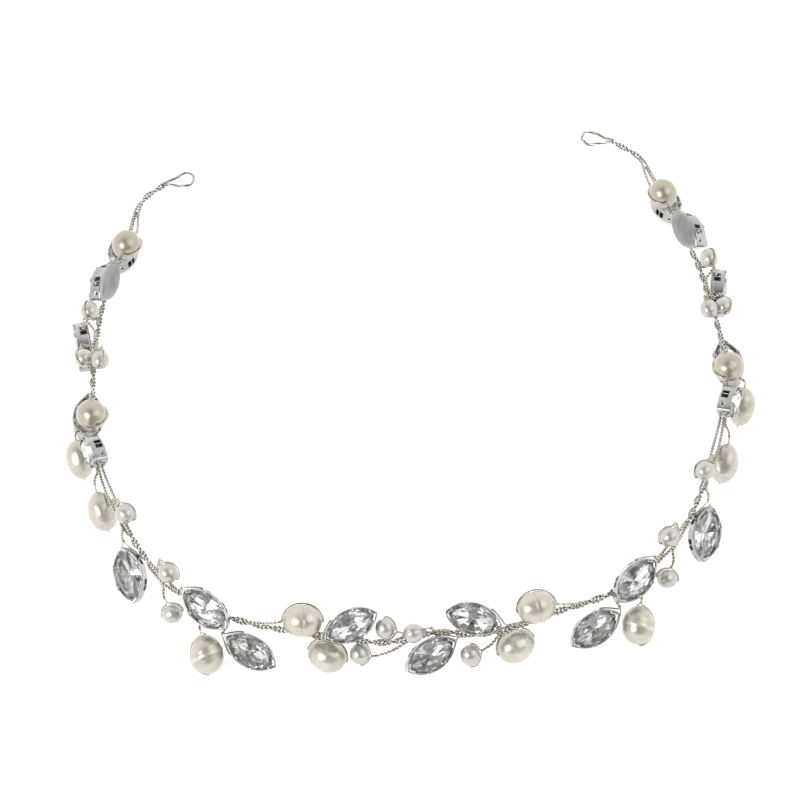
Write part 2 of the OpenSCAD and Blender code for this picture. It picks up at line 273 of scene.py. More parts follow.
@dataclass
class Route:
    """The trunk's line round the head, from the left end to the right end.

    Each of its points is away from the front by a share of half the width and by a share
    of the depth.
    """

    width: float = 151.0
    depth: float = 174.6
    front_height: float = 10.5
    back_height: float = 6.0
    front: tuple[float, float] = (-2.28, -85.5)
    low_until: float = 0.13
    high_from: float = 0.75
    steps: int = 4
    way_step: float = 0.004
    points: tuple[tuple[float, float], ...] = (
        (-0.79, 0.904), (-0.868, 0.86), (-0.903, 0.768), (-0.948, 0.688),
        (-0.969, 0.602), (-0.972, 0.505), (-0.956, 0.407), (-0.919, 0.316),
        (-0.86, 0.241), (-0.789, 0.172), (-0.697, 0.107), (-0.564, 0.056),
        (-0.404, 0.029), (-0.219, 0.012), (-0.046, 0.001), (0.106, 0.018),
        (0.272, 0.018), (0.457, 0.052), (0.623, 0.084), (0.755, 0.135),
        (0.848, 0.195), (0.921, 0.273), (0.983, 0.364), (1.023, 0.459),
        (1.03, 0.551), (1.001, 0.653), (0.971, 0.734), (0.909, 0.831),
        (0.844, 0.928), (0.808, 0.965), (0.72, 1.0),
    )
    trace: list[Vector] = field(init=False)
    reach: list[float] = field(init=False)

    def __post_init__(self) -> None:
        """Works out the trace and the length up to each of its points."""
        self.trace = self.curve(self.steps)
        self.reach = reaches(self.trace)

    @property
    def length(self) -> float:
        """Length of the trunk."""
        return self.reach[-1]

    def curve(self, steps: int) -> list[Vector]:
        """Curve through the route's points at the trunk's height.

        Args:
            steps: pieces between two points of the route.

        Returns:
            The curve's points.
        """
        flat = smooth_path(
            [Vector((self.front[0] + x * self.width / 2, self.front[1] + y * self.depth, 0))
             for x, y in self.points],
            steps,
        )
        for i, point in enumerate(flat):
            point.z = self.height(i / (len(flat) - 1))
        return flat

    def height(self, share: float) -> float:
        """Height of the trunk.

        Args:
            share: share of the route's points.

        Returns:
            The height there.
        """
        forward = 1 - abs(2 * share - 1)
        rise = (forward - self.low_until) / (self.high_from - self.low_until)
        return self.back_height + held(rise) * (self.front_height - self.back_height)

    def point(self, share: float) -> Vector:
        """Place on the trunk.

        Args:
            share: share of the trunk's length.

        Returns:
            The place there.
        """
        at = held(share) * self.length
        i = 0
        while i < len(self.trace) - 2 and self.reach[i + 1] < at:
            i += 1
        part = (at - self.reach[i]) / (self.reach[i + 1] - self.reach[i])
        return self.trace[i].lerp(self.trace[i + 1], part)

    def way(self, share: float) -> Vector:
        """Direction of the trunk at a share of its length."""
        return (self.point(share + self.way_step) - self.point(share - self.way_step)
                ).normalized()

    def heading(self, share: float) -> float:
        """Compass direction of the trunk, in radians."""
        way = self.way(share)
        return math.atan2(way.y, way.x)


@dataclass
class Seat:
    """An element in its place on the vine."""

    element: Element
    side: Side
    route: Route

    @property
    def share(self) -> float:
        """Share of the trunk that the element sits at."""
        if self.side is Side.LEFT:
            return self.element.from_left
        return 1 - self.element.from_right

    @property
    def root_share(self) -> float:
        """Share of the trunk that the element's stem leaves at."""
        return self.share - self.side.value * self.element.root

    def matrix(self) -> Matrix:
        """Turn and place of the element.

        Returns:
            The matrix from the element's own space to the vine's.
        """
        e, sign = self.element, self.side.value
        heading = self.route.heading(self.share)
        spot = self.route.point(self.share) + (
            Matrix.Rotation(heading, 3, "Z") @ Vector((0, e.inward, e.above))
        )
        facing = heading - math.pi / 2 + sign * math.radians(e.turn)
        return (
            Matrix.Translation(spot)
            @ Matrix.Rotation(facing, 4, "Z")
            @ Matrix.Rotation(math.radians(90 - e.lift), 4, "Y")
            @ Matrix.Rotation(sign * math.radians(e.roll), 4, "Z")
            @ Matrix.Diagonal((1, sign, 1, 1))
        )


# Finishes


class Shader:
    """Nodes of a new material or world, round the one that shows."""

    def __init__(self, owner: bpy.types.Material | bpy.types.World,
                 surface: str = "Principled BSDF") -> None:
        """Starts the nodes.

        Args:
            owner: the new material or world.
            surface: name of the node that shows.
        """
        owner.use_nodes = True
        self.owner = owner
        self.tree = owner.node_tree
        self.surface = self.tree.nodes[surface]

    def node(self, kind: str, inputs: dict[str | int, object] | None = None,
             **settings: object) -> bpy.types.Node:
        """Adds a node.

        Args:
            kind: the node's type.
            inputs: values of its sockets, and other nodes' sockets to link to them.
            settings: its own settings.

        Returns:
            The node.
        """
        made = self.tree.nodes.new(kind)
        for name, value in settings.items():
            setattr(made, name, value)
        self.feed(made, inputs or {})
        return made

    def feed(self, node: bpy.types.Node, inputs: dict[str | int, object]) -> None:
        """Sets or links a node's sockets.

        Args:
            node: the node.
            inputs: the sockets' names or numbers, and their values or links.
        """
        for name, value in inputs.items():
            if isinstance(value, Socket):
                self.tree.links.new(value, node.inputs[name])
            else:
                node.inputs[name].default_value = value

    def dress(self, **inputs: object) -> None:
        """Sets or links sockets of the node that shows, named with low lines for blanks."""
        self.feed(self.surface, {name.replace("_", " "): inputs[name] for name in inputs})

    def attribute(self, name: str) -> Socket:
        """Number that the mesh holds under a name."""
        return self.node("ShaderNodeAttribute", attribute_name=name).outputs["Fac"]

    def grain(self, size: float, detail: float = 3.0) -> Socket:
        """Cloudy pattern in the object's own space.

        Args:
            size: size of a patch.
            detail: number of finer layers.

        Returns:
            The pattern, from 0 to 1.
        """
        place = self.node("ShaderNodeTexCoord").outputs["Object"]
        return self.node("ShaderNodeTexNoise", {
            "Scale": 1 / (size * MM), "Detail": detail, "Vector": place}).outputs["Fac"]

    def ramp(self, source: Socket, stops: Iterable[tuple[float, Rgb]]) -> Socket:
        """Colours along a pattern.

        Args:
            source: the pattern.
            stops: places along it and their colours. A new ramp's own two are the first.

        Returns:
            The colour.
        """
        ramp = self.node("ShaderNodeValToRGB", {"Fac": source})
        band = ramp.color_ramp.elements
        for i, (place, colour) in enumerate(stops):
            stop = band[i] if i < 2 else band.new(place)
            stop.position, stop.color = place, (*colour, 1)
        return ramp.outputs["Color"]

    def mean(self, one: Socket, other: Socket) -> Socket:
        """Mean of two patterns."""
        half = self.node("ShaderNodeMath", {0: other, 1: 0.5}, operation="MULTIPLY")
        return self.node("ShaderNodeMath", {0: one, 1: 0.5, 2: half.outputs["Value"]},
                         operation="MULTIPLY_ADD").outputs["Value"]

    def spread(self, source: Socket, low: float, high: float) -> Socket:
        """A pattern's middle stretched between two numbers.

        Args:
            source: the pattern, from 0 to 1.
            low: result at its low end.
            high: result at its high end.

        Returns:
            The number.
        """
        return self.node("ShaderNodeMapRange", {
            "From Min": PATTERN_LOW, "From Max": PATTERN_HIGH, "To Min": low, "To Max": high,
            "Value": source}).outputs["Result"]

    def bump(self, height: Socket, depth: float, strength: float) -> None:
        """Gives the surface a relief.

        Args:
            height: pattern of the relief.
            depth: its depth.
            strength: how strongly it shows.
        """
        bump = self.node("ShaderNodeBump", {
            "Distance": depth * MM, "Strength": strength, "Height": height})
        self.dress(Normal=bump.outputs["Normal"])


@dataclass(frozen=True)
class MetalFinish:
    """Polished or drawn silver with faint tarnish, and painted shade where the mesh marks the
    grooves between wires, a setting's underside and its claw tips.
    """

    name: str
    bright: Rgb
    dull: Rgb
    # Colour of the painted shade
    painted_shade: Rgb
    roughness: tuple[float, float]
    patch: float
    scratch: float
    scratch_depth: float
    stops: tuple[float, float] = (0.35, 0.62)
    fineness: float = 6.0
    relief: float = 0.5

    def make(self) -> Finish:
        """Makes the finish.

        Returns:
            Its material.
        """
        shader = Shader(bpy.data.materials.new(self.name))
        cloud = shader.grain(self.patch)
        # Painted shade: the colour is mixed toward the shade colour where the mesh's attribute
        # says
        worn = shader.node("ShaderNodeMix", {
            "Factor": shader.attribute("painted_shade"),
            "A": shader.ramp(cloud, zip(self.stops, (self.dull, self.bright))),
            "B": (*self.painted_shade, 1)}, data_type="RGBA")
        shader.dress(Metallic=1.0, Base_Color=worn.outputs["Result"],
                     Roughness=shader.spread(cloud, *reversed(self.roughness)))
        shader.bump(shader.grain(self.scratch, self.fineness), self.scratch_depth, self.relief)
        return shader.owner


@dataclass(frozen=True)
class NacreFinish:
    """Layered nacre: a soft lustre over a cloudy body with faint growth rings, and painted light
    on a pearl's ridges and painted shade in its furrows, from its UV map.
    """

    name: str
    light: Rgb
    deep: Rgb
    patch: float
    lustre: float
    roughness: tuple[float, float]
    rings: float
    ring_depth: float
    stops: tuple[float, float] = (0.25, 0.68)
    coat: float = 0.6
    coat_roughness: float = 0.2
    coat_index: float = 1.55
    relief: float = 0.28
    fineness: float = 4.0
    ring_fineness: float = 2.0
    finer: float = 3.0

    def make(self) -> Finish:
        """Makes the finish.

        Returns:
            Its material.
        """
        shader = Shader(bpy.data.materials.new(self.name))
        cloud = shader.grain(self.patch, self.fineness)
        along = shader.node("ShaderNodeUVMap", uv_map="along").outputs["UV"]
        # The UV map's first number is the painted light and shade of the ridges and furrows, its
        # second the place along the growth rings
        tone, ring = shader.node("ShaderNodeSeparateXYZ", {"Vector": along}).outputs[:2]
        rings = shader.node("ShaderNodeTexNoise", noise_dimensions="1D", inputs={
            "Scale": self.rings, "Detail": self.ring_fineness, "W": ring}).outputs["Fac"]
        # Painted light and shade of the ridges is mixed into the nacre's cloudy body
        body = shader.mean(shader.mean(cloud, rings), tone)
        shader.dress(
            Metallic=self.lustre, Coat_Weight=self.coat, Coat_Roughness=self.coat_roughness,
            Coat_IOR=self.coat_index, Roughness=shader.spread(cloud, *self.roughness),
            Base_Color=shader.ramp(body, zip(self.stops, (self.deep, self.light))))
        relief = shader.mean(rings, shader.grain(self.patch / self.finer))
        shader.bump(relief, self.ring_depth, self.relief)
        return shader.owner


@dataclass(frozen=True)
class GlassFinish:
    """Clear lead glass."""

    name: str
    tint: Rgb
    index: float
    patch: float = 1.5
    stops: tuple[float, float] = (0.3, 0.7)

    def make(self) -> Finish:
        """Makes the finish.

        Returns:
            Its material.
        """
        shader = Shader(bpy.data.materials.new(self.name))
        tints = shader.ramp(shader.grain(self.patch),
                            zip(self.stops, (self.tint, (1.0, 1.0, 1.0))))
        shader.dress(Roughness=0.0, IOR=self.index, Transmission_Weight=1.0, Base_Color=tints)
        return shader.owner


@dataclass(frozen=True)
class FoilFinish:
    """Mirror foil behind the glass, whose facets are each painted a little lighter or darker, as
    painted reflections.
    """

    name: str
    # Colours of the darkest, middle and lightest painted facets
    dark: Rgb
    middle: Rgb
    light: Rgb
    roughness: float
    mirror: float
    crease: float = 0.6
    crease_depth: float = 0.003
    relief: float = 0.2

    def make(self) -> Finish:
        """Makes the finish.

        Returns:
            Its material.
        """
        shader = Shader(bpy.data.materials.new(self.name))
        # Painted reflections: each facet's colour comes from its painted light
        painted_lights = shader.ramp(shader.attribute("tone"),
                            ((0.0, self.dark), (1.0, self.light), (0.5, self.middle)))
        shader.dress(Metallic=self.mirror, Roughness=self.roughness, Base_Color=painted_lights)
        shader.bump(shader.grain(self.crease), self.crease_depth, self.relief)
        return shader.owner


# Each silver's last colour is painted shade, for the grooves between its wires or for a setting's
# underside and claw tips
TRUNK_SILVER = MetalFinish(
    "drawn_silver_rope", bright=(0.7, 0.69, 0.66), dull=(0.52, 0.5, 0.46),
    painted_shade=(0.045, 0.042, 0.034), roughness=(0.12, 0.28), patch=3.0, scratch=0.12,
    scratch_depth=0.01)
STEM_SILVER = MetalFinish(
    "drawn_silver_wire", bright=(0.72, 0.67, 0.58), dull=(0.5, 0.44, 0.34),
    painted_shade=(0.08, 0.068, 0.05), roughness=(0.12, 0.28), patch=2.2, scratch=0.12,
    scratch_depth=0.01)
SETTING_SILVER = MetalFinish(
    "polished_silver", bright=(0.47, 0.47, 0.465), dull=(0.34, 0.34, 0.335),
    painted_shade=(0.05, 0.05, 0.05), roughness=(0.08, 0.2), patch=4.0, scratch=0.5,
    scratch_depth=0.004)
IVORY_NACRE = NacreFinish(
    "ivory_nacre", light=(0.46, 0.43, 0.35), deep=(0.31, 0.275, 0.2), patch=2.4, lustre=0.68,
    roughness=(0.24, 0.34), rings=14.0, ring_depth=0.06)
CREAM_NACRE = NacreFinish(
    "cream_nacre", light=(0.59, 0.57, 0.505), deep=(0.38, 0.345, 0.265), patch=2.4, lustre=0.5,
    roughness=(0.22, 0.32), rings=14.0, ring_depth=0.08)
WHITE_NACRE = NacreFinish(
    "white_nacre", light=(0.54, 0.53, 0.5), deep=(0.39, 0.375, 0.34), patch=1.4, lustre=0.55,
    roughness=(0.2, 0.3), rings=9.0, ring_depth=0.06)
CLEAR_GLASS = GlassFinish("clear_glass", tint=(0.97, 0.97, 0.97), index=1.45)
# The foil's facets are painted from dark through middle to light, as painted reflections
MIRROR_FOIL = FoilFinish(
    "mirror_foil", dark=(0.12, 0.12, 0.118), middle=(0.7, 0.697, 0.685),
    light=(1.0, 0.997, 0.985), roughness=0.06, mirror=0.7)


# Meshes


def put(bm: Mesh, matrix: Matrix) -> None:
    """Moves a mesh to its place, with its faces still outward if that mirrors it.

    Args:
        bm: the mesh.
        matrix: its turn and place.
    """
    bmesh.ops.transform(bm, matrix=matrix, verts=bm.verts)
    if matrix.determinant() < 0:
        bmesh.ops.reverse_faces(bm, faces=bm.faces)


def place_mesh(name: str, bm: Mesh, matrix: Matrix, smooth: bool = True) -> bpy.types.Object:
    """Turns a finished bmesh into an object at the origin.

    Args:
        name: the piece's name.
        bm: the mesh in its own space. It is freed.
        matrix: its turn and place.
        smooth: whether its faces shade smoothly.

    Returns:
        The linked object, with its place in its mesh.
    """
    put(bm, Matrix.Scale(MM, 4) @ matrix)
    for face in bm.faces:
        face.smooth = smooth
    mesh = bpy.data.meshes.new(name)
    bm.to_mesh(mesh)
    bm.free()
    return linked(name, mesh)


def linked(name: str, data: bpy.types.ID) -> bpy.types.Object:
    """Puts a new object in the scene.

    Args:
        name: its name.
        data: its mesh, curve, lamp or camera.

    Returns:
        The object.
    """
    made = bpy.data.objects.new(name, data)
    bpy.context.scene.collection.objects.link(made)
    return made


def first_ring(bm: Mesh, count: int, capped: bool, spot: Spot, *form: float) -> Edges:
    """Makes the ring that a shell starts from, with its vertices numbered.

    Args:
        bm: the empty mesh.
        count: number of its vertices.
        capped: whether a face closes it.
        spot: gives a vertex's place from its number and the ring's form.
        form: the ring's form, such as its height.

    Returns:
        The ring's edges.
    """
    number = bm.verts.layers.int.new(RING_LAYER)
    ring = bmesh.ops.create_circle(bm, cap_ends=capped, radius=1.0, segments=count)["verts"]
    for k, vert in enumerate(ring):
        vert[number] = k
        vert.co = spot(k, *form)
    return list(bm.edges)


def raise_ring(bm: Mesh, edges: Edges, spot: Spot, *form: float) -> Edges:
    """Extrudes edges of a ring to the next one.

    Args:
        bm: the mesh.
        edges: the edges to extrude.
        spot: gives a vertex's place from its number and the ring's form.
        form: the next ring's form.

    Returns:
        The edges of the next ring.
    """
    number = bm.verts.layers.int[RING_LAYER]
    made = bmesh.ops.extrude_edge_only(bm, edges=edges)["geom"]
    fresh = {v for v in made if isinstance(v, bmesh.types.BMVert)}
    for vert in fresh:
        vert.co = spot(vert[number], *form)
    return [e for e in made if isinstance(e, bmesh.types.BMEdge) and fresh.issuperset(e.verts)]


def hand_over(piece: bpy.types.Object, slot: str, nodes: Sequence[str],
              *finishes: Finish) -> None:
    """Dresses a piece and puts it in its CAD nodes' place.

    Args:
        piece: the finished object.
        slot: the record's material slot; not used.
        nodes: the CAD nodes that it stands for.
        finishes: its materials, in the order of its faces' indices.
    """
    for finish in finishes:
        piece.data.materials.append(finish)
    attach(piece, BODY)
    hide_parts(*nodes)
    LOG.info("%s: %d faces, stands for %s", piece.name, len(piece.data.polygons),
             ", ".join(nodes))


@dataclass
class Wire:
    """Points of a wire, each with the point of the core that it winds round."""

    points: list[Vector]
    core: list[Vector]

    @classmethod
    def wound(cls, core: list[Vector], pitch: float, radius: float, phase: float) -> "Wire":
        """Wire that winds round a core, as wound_path has it."""
        return cls(wound_path(core, pitch, radius, phase), core)


def wires(name: str, strung: Sequence[Wire], diameter: float) -> bpy.types.Object:
    """Round wires as one mesh that says how much painted shade each vertex takes, more where it
    faces into the groove between wires.

    Args:
        name: the piece's name.
        strung: the wires.
        diameter: the wires' diameter.

    Returns:
        The linked object.
    """
    curve = bpy.data.curves.new(name, "CURVE")
    curve.dimensions = "3D"
    curve.bevel_depth = diameter / 2 * MM
    curve.bevel_resolution = 1
    for wire in strung:
        spline = curve.splines.new("POLY")
        spline.points.add(len(wire.points) - 1)
        spline.points.foreach_set("co", [c for p in wire.points for c in (*(p * MM), 1.0)])
    drawn = linked(name + "_curve", curve)
    bpy.context.view_layer.update()
    mesh = bpy.data.meshes.new_from_object(
        drawn.evaluated_get(bpy.context.evaluated_depsgraph_get()))
    bpy.data.objects.remove(drawn)
    bpy.data.curves.remove(curve)
    mesh.name = name
    mesh.materials.clear()
    sides = len(mesh.vertices) // sum(len(wire.points) for wire in strung)
    # Painted shade: a wound wire is darkened on the side that faces its core, as shade between
    # the wires; a bare wire is darkened evenly
    painted_shades, verts = [], iter(mesh.vertices)
    for wire in strung:
        for point, core in zip(wire.points, wire.core):
            inward = (core - point).normalized()
            for _ in range(sides):
                out = (next(verts).co / MM - point).normalized()
                depth = out.dot(inward) + PAINTED_SHADE_MIDDLE if core != point else BARE_WIRE_DARKENING
                painted_shades.append(held(depth))
    mesh.attributes.new("painted_shade", "FLOAT", "POINT").data.foreach_set("value", painted_shades)
    closed = bmesh.new()
    closed.from_mesh(mesh)
    bmesh.ops.holes_fill(closed, edges=[e for e in closed.edges if e.is_boundary], sides=0)
    closed.to_mesh(mesh)
    closed.free()
    return linked(name, mesh)


# Pieces


@dataclass
class Trunk:
    """Rope of two strands, each of two wires twisted together.

    An open span has its start and end as shares of the trunk, half of the gap at its
    middle, and how far the pair moves outward there as a share of that.
    """

    route: Route
    wire: float = 0.43
    slack: float = 0.57
    strand_pitch: float = 2.0
    rope_pitch: float = 9.0
    step: float = 0.2
    route_steps: int = 24
    open_spans: tuple[tuple[float, float, float, float], ...] = (
        (0.024, 0.076, 0.58, -1.0), (0.24, 0.3, 0.25, 0.0), (0.33, 0.352, 0.22, 0.0),
        (0.63, 0.66, 0.22, 0.0), (0.69, 0.75, 0.25, 0.0), (0.925, 0.977, 0.58, -1.0),
    )

    def opening(self, share: float) -> tuple[float, float]:
        """How the strands part at a share of the trunk.

        Args:
            share: share of the trunk's length.

        Returns:
            Half the gap between the strands, and how far the pair moves outward with it.
        """
        for start, end, width, lean in self.open_spans:
            if start < share < end:
                gap = width * math.sin(math.pi * (share - start) / (end - start)) ** 2
                return gap, gap * lean
        return 0.0, 0.0

    def turn(self, share: float) -> float:
        """Turn of the two strands round each other.

        Where they stand apart they lie side by side, so the turn waits there.

        Args:
            share: share of the trunk's length.

        Returns:
            The turn, in radians.
        """
        turned, start = 0.0, 0.0
        # The last stretch of twist ends with the trunk
        for open_start, open_end, _, _ in (*self.open_spans, (1.0, 1.0, 0.0, 0.0)):
            twisted = open_start - start
            half_turns = round(twisted * self.route.length / self.rope_pitch * 2)
            turned += math.pi * half_turns * held((share - start) / twisted)
            start = open_end
        return turned

    def strung(self) -> list[Wire]:
        """Winds the rope's wires.

        Returns:
            The four wires.
        """
        line = even_path(self.route.curve(self.route_steps), self.step)
        strands: list[list[Vector]] = [[], []]
        for i, point in enumerate(line):
            share = i / (len(line) - 1)
            way = way_at(line, i)
            across = way.cross(UP).normalized()
            up = across.cross(way)
            angle = self.turn(share)
            gap, shift = self.opening(share)
            out = (self.wire + gap) * (math.cos(angle) * across + math.sin(angle) * up)
            strands[0].append(point + shift * across + out)
            strands[1].append(point + shift * across - out)
        return [
            Wire.wound(strand, self.strand_pitch, self.wire * self.slack, phase)
            for strand in strands for phase in (0, math.pi)
        ]

    def build(self, metal: Finish) -> None:
        """Makes the rope in its finish."""
        rope = wires("trunk_rope", self.strung(), self.wire)
        hand_over(rope, "trunk_wire", ["trunk"], metal)


@dataclass
class EndLoop:
    """Teardrop of a slack bundle of wires at one end of the trunk."""

    route: Route
    side: Side
    length: float = 8.0
    width: float = 5.2
    bundle: float = 0.9
    gap: float = 0.1
    loop_turn: float = 30.0
    round_until: int = 120
    round_step: int = 15
    rounding: int = 2
    step: float = 0.3
    wire: float = 0.42
    slack: float = 0.55
    pitch: float = 11.0
    wires_in_bundle: int = 3

    def line(self) -> list[Vector]:
        """Middle line of the bundle.

        Returns:
            Its points, from the trunk's end and back to it.
        """
        share = 0.0 if self.side is Side.LEFT else 1.0
        end = self.route.point(share)
        back = -self.side.value * self.route.way(share)
        back.z = 0
        way = Matrix.Rotation(-self.side.value * math.radians(self.loop_turn), 3, "Z") @ (
            back.normalized())
        r = (self.width - self.bundle) / 2
        neck = UP * (self.bundle / 2 + self.gap)
        ahead = way * self.bundle
        middle = self.length - self.bundle / 2 - r
        drop = [
            end + way * (middle + r * math.cos(a)) + UP * r * math.sin(a)
            for a in map(math.radians,
                         range(-self.round_until, self.round_until + 1, self.round_step))
        ]
        corners = [end - ahead - neck / 2, end + ahead - neck, *drop,
                   end + ahead + neck, end - ahead + neck / 2]
        return even_path(rounded_path(corners, self.rounding), self.step)

    def build(self, metal: Finish) -> None:
        """Makes the loop.

        Args:
            metal: its finish.
        """
        line = self.line()
        strung = [
            Wire.wound(line, self.pitch, self.wire * self.slack,
                       math.tau * k / self.wires_in_bundle)
            for k in range(self.wires_in_bundle)
        ]
        loop = wires(f"pin_loop_{self.side.word}", strung, self.wire)
        hand_over(loop, "trunk_wire", [f"end_loop_{self.side.word}"], metal)


@dataclass(frozen=True)
class Lens:
    """Outline where two circles cross, with its long axis along X."""

    half_length: float
    half_width: float

    @property
    def arc(self) -> float:
        """Radius of the two circles."""
        return (self.half_length**2 + self.half_width**2) / (2 * self.half_width)

    def corner(self, share: float, upper: bool, inset: float) -> tuple[float, float]:
        """A point on the outline, moved in by a wall's thickness.

        Args:
            share: share of the half length along X.
            upper: whether it is on the +Y side.
            inset: distance inward. A negative one grows the outline.

        Returns:
            Its X and Y.
        """
        arc, shift = self.arc - inset, self.arc - self.half_width
        x = share * math.sqrt(max(arc**2 - shift**2, 0))
        y = math.sqrt(max(arc**2 - x**2, 0)) - shift
        return x, y if upper else -y


@dataclass(frozen=True)
class PearlForm:
    """Size of a pearl and how it departs from an even egg.

    A ridge, or a furrow, has its middle and half width along the growth rings and its
    share of the radius.
    """

    length: float
    width: float
    taper: float = 0.0
    rough: float = 0.012
    ridges: tuple[tuple[float, float, float], ...] = ()
    slant: float = 0.0


@dataclass
class Pearl:
    """Drilled freshwater pearl with its bore along X."""

    form: PearlForm
    seed: float
    bore: float = 0.9
    bands: int = 40
    slices: int = 56
    cloud: float = 0.45
    # Painted light and shade of the ridges and furrows: its middle, its strength and its limits
    painted_light_middle: float = 0.5
    band_painted_light: float = 18.0
    tone_range: tuple[float, float] = (-0.2, 0.4)

    def ringed(self, place: Vector) -> float:
        """Place along the growth rings, from -1 to 1, where slanted rings lie level."""
        around = math.atan2(place.z, place.y)
        return place.x / (self.form.length / 2) + self.form.slant * math.cos(around)

    def ridge(self, place: Vector) -> float:
        """Share by which the ridges and furrows move the surface out."""
        at = self.ringed(place)
        return sum(depth * math.exp(-(((at - middle) / half) ** 2))
                   for middle, half, depth in self.form.ridges)

    def swell(self, place: Vector) -> float:
        """How far the surface swells.

        Args:
            place: place on the even egg.

        Returns:
            The share by which it moves out there.
        """
        along = place.x / (self.form.length / 2)
        cloud = noise.noise(place * self.cloud + Vector((self.seed, 0, 0)))
        return self.form.taper * along + self.ridge(place) + self.form.rough * cloud

    def mesh(self) -> Mesh:
        """Models the pearl.

        Returns:
            The mesh in its own space, with its rings and the painted light and shade of its
            ridges and furrows in the UV map.
        """
        form, bm = self.form, bmesh.new()
        mouth = math.asin(self.bore / form.width)
        verts = [
            bm.verts.new((form.length / 2 * math.cos(a), form.width / 2 * math.sin(a), 0))
            for a in (mouth + (math.pi - 2 * mouth) * i / self.bands
                      for i in range(self.bands + 1))
        ]
        for a, b in zip(verts, verts[1:]):
            bm.edges.new((a, b))
        bm.edges.new((verts[-1], verts[0]))
        bmesh.ops.spin(bm, geom=[*bm.verts, *bm.edges], cent=(0, 0, 0), axis=(1, 0, 0),
                       angle=math.tau, steps=self.slices, use_merge=True)
        bmesh.ops.remove_doubles(bm, verts=bm.verts, dist=WELD)
        bmesh.ops.recalc_face_normals(bm, faces=bm.faces)
        along = bm.loops.layers.uv.new("along")
        for loop in (loop for face in bm.faces for loop in face.loops):
            place = loop.vert.co
            # Painted light and shade: ridges are painted lighter and furrows darker
            tone = held(self.band_painted_light * self.ridge(place), *self.tone_range)
            loop[along].uv = self.painted_light_middle + tone, self.ringed(place) / 2 + 0.5
        for vert in bm.verts:
            across = math.hypot(vert.co.y, vert.co.z)
            free = held((across - self.bore / 2) / self.bore)
            swell = 1 + free * self.swell(vert.co)
            vert.co.y *= swell
            vert.co.z *= swell
        return bm


@dataclass
class Pearls:
    """The large pearls and the small ones of one side."""

    seats: list[Seat]
    side: Side
    forms: tuple[PearlForm, ...] = (
        PearlForm(7.6, 7.1, taper=0.03, rough=0.03),
        PearlForm(7.5, 7.1, taper=-0.03, rough=0.03, ridges=((0.72, 0.1, 0.02),)),
        PearlForm(9.3, 6.55, taper=0.05, rough=0.04, slant=0.1,
                  ridges=((0.1, 0.12, -0.014), (-0.35, 0.12, 0.012))),
        PearlForm(9.4, 6.7, taper=-0.06, rough=0.05, ridges=((-0.5, 0.1, 0.014),)),
        PearlForm(8.8, 7.4, taper=-0.05, rough=0.02, slant=0.3,
                  ridges=((-0.06, 0.07, 0.03), (0.14, 0.1, -0.014), (-0.28, 0.12, -0.018))),
        PearlForm(8.8, 7.3, taper=0.03, rough=0.03, ridges=((0.04, 0.05, -0.055),)),
        PearlForm(8.8, 7.4, taper=0.05, rough=0.02, slant=0.05,
                  ridges=((-0.36, 0.05, 0.018), (-0.18, 0.05, 0.022), (0.0, 0.05, 0.022),
                          (0.18, 0.05, 0.018))),
    )
    bead_forms: tuple[PearlForm, ...] = (
        PearlForm(4.8, 4.4, taper=0.05, rough=0.03, ridges=((0.3, 0.15, 0.012),)),
        PearlForm(4.7, 4.4, taper=-0.05, rough=0.03, ridges=((-0.2, 0.12, -0.012),)),
        PearlForm(4.8, 4.3, taper=0.02, rough=0.04, slant=0.2, ridges=((0.0, 0.2, 0.012),)),
    )
    large_seed: float = 10.0
    bead_seed: float = 40.0
    bead_bands: int = 20
    bead_slices: int = 32

    def bead(self, i: int, seat: Seat) -> Mesh:
        """Models a small pearl.

        Args:
            i: its number on its side.
            seat: its place.

        Returns:
            The mesh in its place.
        """
        form = self.bead_forms[i % len(self.bead_forms)]
        bead = Pearl(form, seed=i + self.bead_seed * self.side.value, bands=self.bead_bands,
                     slices=self.bead_slices).mesh()
        put(bead, seat.matrix())
        return bead

    def build(self, ivory: Finish, cream: Finish, white: Finish) -> None:
        """Makes the side's pearls.

        Args:
            ivory: finish of the round pearls.
            cream: finish of the other large pearls.
            white: finish of the small pearls.
        """
        word = self.side.word
        carried = [s for s in self.seats if s.element.kind in (ROUND, LONG, FRONT)]
        for i, (seat, form) in enumerate(zip(carried, self.forms), 1):
            mesh = Pearl(form, seed=i + self.large_seed * self.side.value).mesh()
            piece = place_mesh(f"nacre_pearl_{word}_{i}", mesh, seat.matrix())
            hand_over(piece, "large_pearl", [f"pearl_{word}_{i}"],
                      ivory if seat.element.kind is ROUND else cream)
        strung = bmesh.new()
        for i, seat in enumerate(s for s in self.seats if s.element.kind is BEAD):
            bead = self.bead(i, seat)
            loose = bpy.data.meshes.new("bead")
            bead.to_mesh(loose)
            bead.free()
            strung.from_mesh(loose)
            bpy.data.meshes.remove(loose)
        piece = place_mesh(f"small_pearls_{word}", strung, Matrix.Identity(4))
        hand_over(piece, "small_pearl", [f"beads_{word}"], white)


